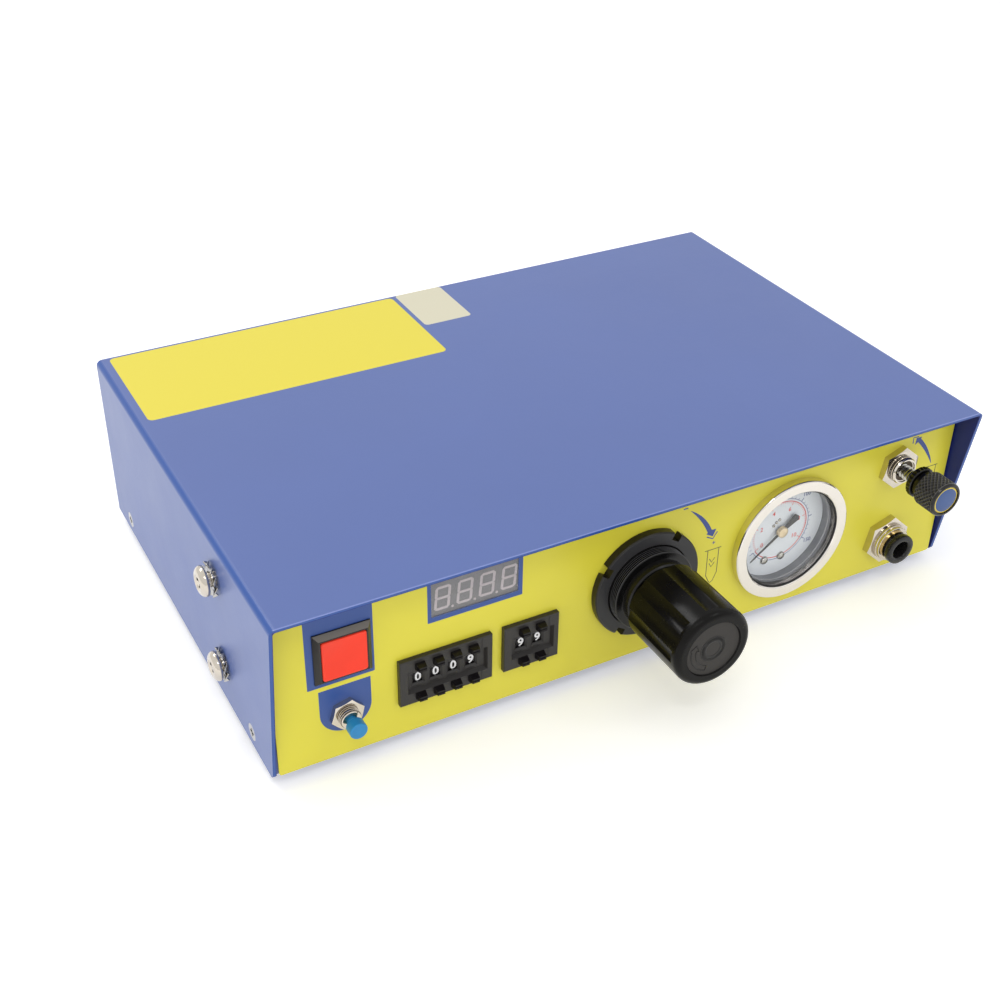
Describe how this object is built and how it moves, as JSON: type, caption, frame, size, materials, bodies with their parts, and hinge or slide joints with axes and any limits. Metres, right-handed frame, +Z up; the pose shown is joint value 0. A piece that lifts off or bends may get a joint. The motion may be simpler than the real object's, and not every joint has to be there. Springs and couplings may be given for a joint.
{
  "type": "glue dispensing controller",
  "caption": "Bench glue dispensing controller: folded steel case with hood, front panel with thumbwheel timers, display, pressure regulator, gauge, vacuum valve and push-in air outlet.",
  "frame": {"origin": "middle of the whole object's footprint, on the surface that the rubber feet stand on", "axes": "+X to the right as seen from the front panel, +Y from the front panel to the rear wall, +Z up"},
  "size_m": [0.2644, 0.223, 0.068],
  "materials": {
    "case_blue": "satin powder coat",
    "overlay_yellow": "printed film, satin",
    "black_plastic": "moulded, slightly glossy",
    "dark_plastic": "moulded, matte",
    "button_red": "translucent moulded",
    "cap_blue": "moulded",
    "nickel": "nickel plated brass",
    "bright_steel": "polished stainless ring",
    "steel": "zinc plated",
    "brass": "sintered bronze and turned brass",
    "rubber_black": "moulded rubber",
    "clear_glass": "clear",
    "dial_white": "matte print",
    "pointer_black": "black painted sheet",
    "board_green": "coated laminate",
    "die_cast": "die-cast",
    "tube_blue": "polyurethane tube"
  },
  "bodies": {
    "root": {"chassis": "case_blue", "top_cover": "case_blue", "front_overlay": "overlay_yellow", "case_screws": "steel", "stand_screws": "nickel", "stand_star_washers": "steel", "rubber_feet": "rubber_black", "foot_screws": "steel", "power_switch_housing": "dark_plastic", "display_module": "dark_plastic", "display_window": "clear_glass", "set_time_housing": "black_plastic", "interval_housing": "black_plastic", "shot_switch_body": "nickel", "regulator_bonnet": "black_plastic", "regulator_body": "die_cast", "regulator_ring_nut": "black_plastic", "gauge_case": "steel", "gauge_ring": "bright_steel", "gauge_glass": "clear_glass", "gauge_dial": "dial_white", "vacuum_valve_body": "nickel", "feed_fitting_body": "nickel", "panel_nuts": "nickel", "mains_inlet": "dark_plastic", "foot_switch_jack": "dark_plastic", "air_inlet_body": "nickel", "exhaust_silencer": "brass", "transformer": "steel", "control_board": "board_green", "solenoid_valve": "die_cast", "air_tubes": "tube_blue"},
    "power_button": {"power_button": "button_red"},
    "shot_button": {"shot_button": "cap_blue"},
    "regulator_spindle": {"regulator_spindle": "steel"},
    "regulator_knob": {"regulator_knob": "black_plastic"},
    "gauge_pointer": {"gauge_pointer": "pointer_black"},
    "vacuum_needle": {"vacuum_needle": "steel"},
    "vacuum_lock_ring": {"vacuum_lock_ring": "black_plastic"},
    "vacuum_knob": {"vacuum_knob": "black_plastic"},
    "feed_release_ring": {"feed_release_ring": "black_plastic"},
    "air_inlet_release_ring": {"air_inlet_release_ring": "tube_blue"},
    "set_time_wheel_1": {"set_time_wheel_1": "black_plastic"},
    "set_time_plus_1": {"set_time_plus_1": "black_plastic"},
    "set_time_minus_1": {"set_time_minus_1": "black_plastic"},
    "set_time_wheel_2": {"set_time_wheel_2": "black_plastic"},
    "set_time_plus_2": {"set_time_plus_2": "black_plastic"},
    "set_time_minus_2": {"set_time_minus_2": "black_plastic"},
    "set_time_wheel_3": {"set_time_wheel_3": "black_plastic"},
    "set_time_plus_3": {"set_time_plus_3": "black_plastic"},
    "set_time_minus_3": {"set_time_minus_3": "black_plastic"},
    "set_time_wheel_4": {"set_time_wheel_4": "black_plastic"},
    "set_time_plus_4": {"set_time_plus_4": "black_plastic"},
    "set_time_minus_4": {"set_time_minus_4": "black_plastic"},
    "interval_wheel_1": {"interval_wheel_1": "black_plastic"},
    "interval_plus_1": {"interval_plus_1": "black_plastic"},
    "interval_minus_1": {"interval_minus_1": "black_plastic"},
    "interval_wheel_2": {"interval_wheel_2": "black_plastic"},
    "interval_plus_2": {"interval_plus_2": "black_plastic"},
    "interval_minus_2": {"interval_minus_2": "black_plastic"}
  },
  "joints": [
    {"name": "power_press", "type": "slide", "parent": "root", "child": "power_button", "axis": [0, 1, 0], "range_m": [0, 0.0016], "stiffness_N_per_m": 300, "springref_m": -0.002},
    {"name": "shot_press", "type": "slide", "parent": "root", "child": "shot_button", "axis": [0, 1, 0], "range_m": [0, 0.0016], "stiffness_N_per_m": 300, "springref_m": -0.002},
    {"name": "set_time_wheel_1_turn", "type": "hinge", "parent": "root", "child": "set_time_wheel_1", "pos_m": [-0.0784, -0.0661, 0.026], "axis": [1, 0, 0], "continuous": true},
    {"name": "set_time_plus_1_press", "type": "slide", "parent": "root", "child": "set_time_plus_1", "axis": [0, 1, 0], "range_m": [0, 0.0016], "stiffness_N_per_m": 120, "springref_m": -0.002},
    {"name": "set_time_minus_1_press", "type": "slide", "parent": "root", "child": "set_time_minus_1", "axis": [0, 1, 0], "range_m": [0, 0.0016], "stiffness_N_per_m": 120, "springref_m": -0.002},
    {"name": "set_time_wheel_2_turn", "type": "hinge", "parent": "root", "child": "set_time_wheel_2", "pos_m": [-0.0724, -0.0661, 0.026], "axis": [1, 0, 0], "continuous": true},
    {"name": "set_time_plus_2_press", "type": "slide", "parent": "root", "child": "set_time_plus_2", "axis": [0, 1, 0], "range_m": [0, 0.0016], "stiffness_N_per_m": 120, "springref_m": -0.002},
    {"name": "set_time_minus_2_press", "type": "slide", "parent": "root", "child": "set_time_minus_2", "axis": [0, 1, 0], "range_m": [0, 0.0016], "stiffness_N_per_m": 120, "springref_m": -0.002},
    {"name": "set_time_wheel_3_turn", "type": "hinge", "parent": "root", "child": "set_time_wheel_3", "pos_m": [-0.0664, -0.0661, 0.026], "axis": [1, 0, 0], "continuous": true},
    {"name": "set_time_plus_3_press", "type": "slide", "parent": "root", "child": "set_time_plus_3", "axis": [0, 1, 0], "range_m": [0, 0.0016], "stiffness_N_per_m": 120, "springref_m": -0.002},
    {"name": "set_time_minus_3_press", "type": "slide", "parent": "root", "child": "set_time_minus_3", "axis": [0, 1, 0], "range_m": [0, 0.0016], "stiffness_N_per_m": 120, "springref_m": -0.002},
    {"name": "set_time_wheel_4_turn", "type": "hinge", "parent": "root", "child": "set_time_wheel_4", "pos_m": [-0.0604, -0.0661, 0.026], "axis": [1, 0, 0], "continuous": true},
    {"name": "set_time_plus_4_press", "type": "slide", "parent": "root", "child": "set_time_plus_4", "axis": [0, 1, 0], "range_m": [0, 0.0016], "stiffness_N_per_m": 120, "springref_m": -0.002},
    {"name": "set_time_minus_4_press", "type": "slide", "parent": "root", "child": "set_time_minus_4", "axis": [0, 1, 0], "range_m": [0, 0.0016], "stiffness_N_per_m": 120, "springref_m": -0.002},
    {"name": "interval_wheel_1_turn", "type": "hinge", "parent": "root", "child": "interval_wheel_1", "pos_m": [-0.0427, -0.0661, 0.026], "axis": [1, 0, 0], "continuous": true},
    {"name": "interval_plus_1_press", "type": "slide", "parent": "root", "child": "interval_plus_1", "axis": [0, 1, 0], "range_m": [0, 0.0016], "stiffness_N_per_m": 120, "springref_m": -0.002},
    {"name": "interval_minus_1_press", "type": "slide", "parent": "root", "child": "interval_minus_1", "axis": [0, 1, 0], "range_m": [0, 0.0016], "stiffness_N_per_m": 120, "springref_m": -0.002},
    {"name": "interval_wheel_2_turn", "type": "hinge", "parent": "root", "child": "interval_wheel_2", "pos_m": [-0.0367, -0.0661, 0.026], "axis": [1, 0, 0], "continuous": true},
    {"name": "interval_plus_2_press", "type": "slide", "parent": "root", "child": "interval_plus_2", "axis": [0, 1, 0], "range_m": [0, 0.0016], "stiffness_N_per_m": 120, "springref_m": -0.002},
    {"name": "interval_minus_2_press", "type": "slide", "parent": "root", "child": "interval_minus_2", "axis": [0, 1, 0], "range_m": [0, 0.0016], "stiffness_N_per_m": 120, "springref_m": -0.002},
    {"name": "regulator_turn", "type": "hinge", "parent": "root", "child": "regulator_spindle", "pos_m": [0.0025, -0.072, 0.0347], "axis": [0, 1, 0], "range_deg": [0, 1800]},
    {"name": "regulator_knob_pull", "type": "slide", "parent": "regulator_spindle", "child": "regulator_knob", "axis": [0, -1, 0], "range_m": [0, 0.0025]},
    {"name": "gauge_pointer_turn", "type": "hinge", "parent": "root", "child": "gauge_pointer", "pos_m": [0.061, -0.072, 0.0332], "axis": [0, 1, 0], "range_deg": [0, 248], "stiffness_Nm_per_rad": 0.00002, "springref_deg": -17.19},
    {"name": "vacuum_needle_travel", "type": "slide", "parent": "root", "child": "vacuum_needle", "axis": [0, 1, 0], "range_m": [-0.0024, 0.0048]},
    {"name": "vacuum_knob_turn", "type": "hinge", "parent": "vacuum_needle", "child": "vacuum_knob", "pos_m": [0.1058, -0.072, 0.0488], "axis": [0, 1, 0], "range_deg": [-1081, 2161]},
    {"name": "vacuum_lock_ring_turn", "type": "hinge", "parent": "vacuum_needle", "child": "vacuum_lock_ring", "pos_m": [0.1058, -0.072, 0.0488], "axis": [0, 1, 0], "range_deg": [-180, 180]},
    {"name": "feed_release_press", "type": "slide", "parent": "root", "child": "feed_release_ring", "axis": [0, 1, 0], "range_m": [0, 0.001], "stiffness_N_per_m": 200, "springref_m": -0.001},
    {"name": "air_inlet_release_press", "type": "slide", "parent": "root", "child": "air_inlet_release_ring", "axis": [0, -1, 0], "range_m": [0, 0.001], "stiffness_N_per_m": 200, "springref_m": -0.001}
  ],
  "couplings": [
    {"joint": "vacuum_knob_turn", "follows": "vacuum_needle_travel", "rad_per_m": 7854}
  ]
}
